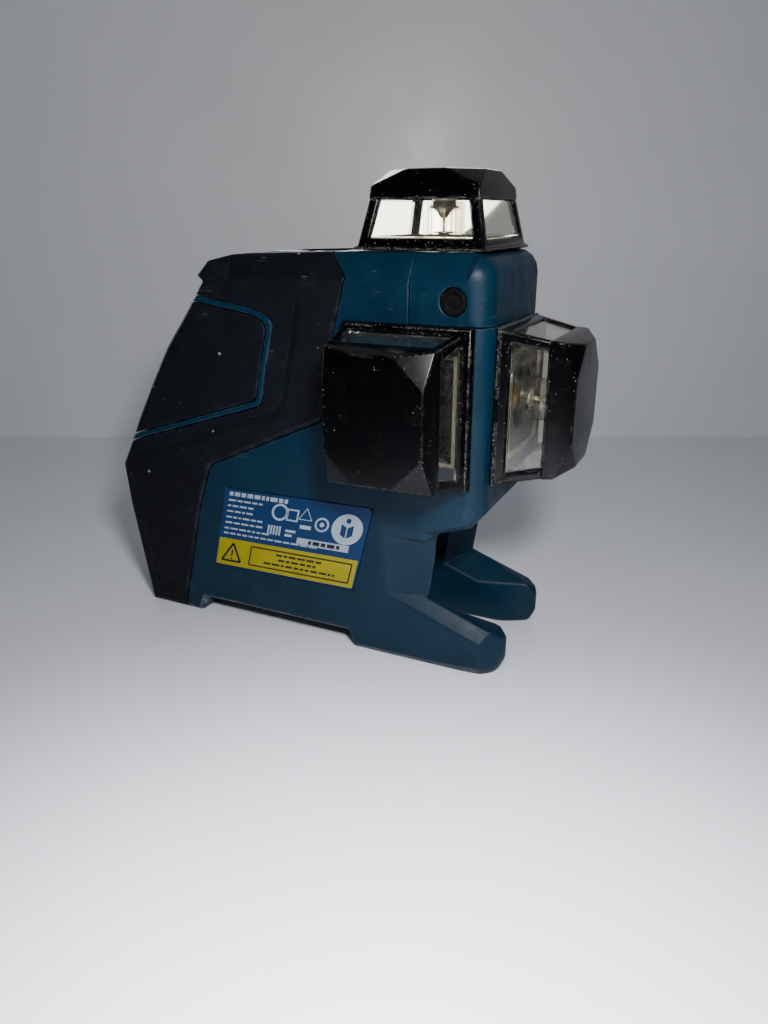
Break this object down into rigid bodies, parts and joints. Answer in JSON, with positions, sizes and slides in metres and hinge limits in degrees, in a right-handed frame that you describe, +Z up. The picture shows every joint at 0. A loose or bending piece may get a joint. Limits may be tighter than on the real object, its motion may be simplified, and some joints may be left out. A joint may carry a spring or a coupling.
{
  "type": "self-levelling line laser",
  "caption": "Compact self-levelling laser level with three box-shaped optical heads, two front legs, a soft rear grip and a battery lid.",
  "frame": {"origin": "middle of the bounding box at the height of the feet", "axes": "+X towards the front head, -Y towards the side head and the type label, +Z up to the top head"},
  "size_m": [0.1514, 0.0748, 0.142],
  "materials": {
    "housing_teal": "satin moulded plastic",
    "grip_rubber": "matte soft overmould",
    "head_black": "polished black plastic",
    "window_glass": "clear glass",
    "dark_plastic": "fine matte plastic",
    "grey_plastic": "fine matte plastic",
    "steel": "turned steel",
    "mirror_metal": "polished mirror coating",
    "brass": "turned brass",
    "cast_alloy": "die-cast alloy",
    "copper": "rolled copper sheet",
    "board_green": "solder mask",
    "label_print": "printed film",
    "cell_can": "sleeved cell"
  },
  "bodies": {
    "housing": {"housing_right": "housing_teal", "housing_left": "housing_teal", "housing_cap": "housing_teal", "grip_right": "grip_rubber", "grip_left": "grip_rubber", "head_frame_top": "head_black", "head_frame_side": "head_black", "head_frame_front": "head_black", "side_plug": "head_black", "head_window_top_1": "window_glass", "head_window_top_2": "window_glass", "head_window_top_3": "window_glass", "head_window_top_4": "window_glass", "head_window_side_1": "window_glass", "head_window_side_2": "window_glass", "head_window_side_3": "window_glass", "head_window_side_4": "window_glass", "head_window_front_1": "window_glass", "head_window_front_2": "window_glass", "head_window_front_3": "window_glass", "head_window_front_4": "window_glass", "status_lens": "window_glass", "control_panel": "dark_plastic", "base_plate": "dark_plastic", "battery_tray": "grey_plastic", "housing_screw_1": "steel", "housing_screw_2": "steel", "housing_screw_3": "steel", "gimbal_pin_left": "steel", "gimbal_pin_right": "steel", "tripod_bush_5_8": "brass", "tripod_bush_1_4": "brass", "chassis": "cast_alloy", "damping_plate": "copper", "circuit_board": "board_green", "type_label": "label_print", "battery_cell_1": "cell_can", "battery_cell_2": "cell_can", "battery_cell_3": "cell_can", "battery_cell_4": "cell_can"},
    "gimbal": {"gimbal_ring": "cast_alloy", "gimbal_pin_front": "steel", "gimbal_pin_rear": "steel"},
    "pendulum": {"pendulum_body": "cast_alloy", "damping_magnet": "steel", "laser_module_top": "brass", "laser_module_side": "brass", "laser_module_front": "brass", "laser_glass_top": "window_glass", "laser_glass_side": "window_glass", "laser_glass_front": "window_glass", "cone_mirror_top": "mirror_metal", "cone_mirror_side": "mirror_metal", "cone_mirror_front": "mirror_metal"},
    "battery_lid": {"battery_lid": "grip_rubber"},
    "battery_latch": {"battery_latch": "grip_rubber"},
    "mode_button": {"mode_button": "grey_plastic"},
    "pulse_button": {"pulse_button": "grey_plastic"},
    "switch_slider": {"switch_slider": "grey_plastic"},
    "lock_lever": {"lock_lever": "grey_plastic"}
  },
  "joints": [
    {"name": "gimbal_pitch", "type": "hinge", "parent": "housing", "child": "gimbal", "pos_m": [0.0318, 0.01, 0.104], "axis": [0, 1, 0], "range_deg": [-4, 4]},
    {"name": "pendulum_roll", "type": "hinge", "parent": "gimbal", "child": "pendulum", "pos_m": [0.0318, 0.01, 0.104], "axis": [1, 0, 0], "range_deg": [-4, 4]},
    {"name": "lid_pull_off", "type": "slide", "parent": "housing", "child": "battery_lid", "axis": [-1, 0, 0], "range_m": [0, 0.075]},
    {"name": "latch_press", "type": "slide", "parent": "battery_lid", "child": "battery_latch", "axis": [-0.666, 0, -0.746], "range_m": [0, 0.002], "stiffness_N_per_m": 500},
    {"name": "mode_press", "type": "slide", "parent": "housing", "child": "mode_button", "axis": [0, 0, -1], "range_m": [0, 0.0008], "stiffness_N_per_m": 1500},
    {"name": "pulse_press", "type": "slide", "parent": "housing", "child": "pulse_button", "axis": [0, 0, -1], "range_m": [0, 0.0008], "stiffness_N_per_m": 1500},
    {"name": "switch_slide", "type": "slide", "parent": "housing", "child": "switch_slider", "axis": [1, 0, 0], "range_m": [0, 0.008]},
    {"name": "lock_tilt", "type": "hinge", "parent": "housing", "child": "lock_lever", "pos_m": [0.0065, 0.01, 0.04925], "axis": [0, 1, 0], "range_deg": [0, 3]}
  ],
  "couplings": [
    {"joint": "lock_tilt", "follows": "switch_slide", "rad_per_m": 6.5}
  ]
}
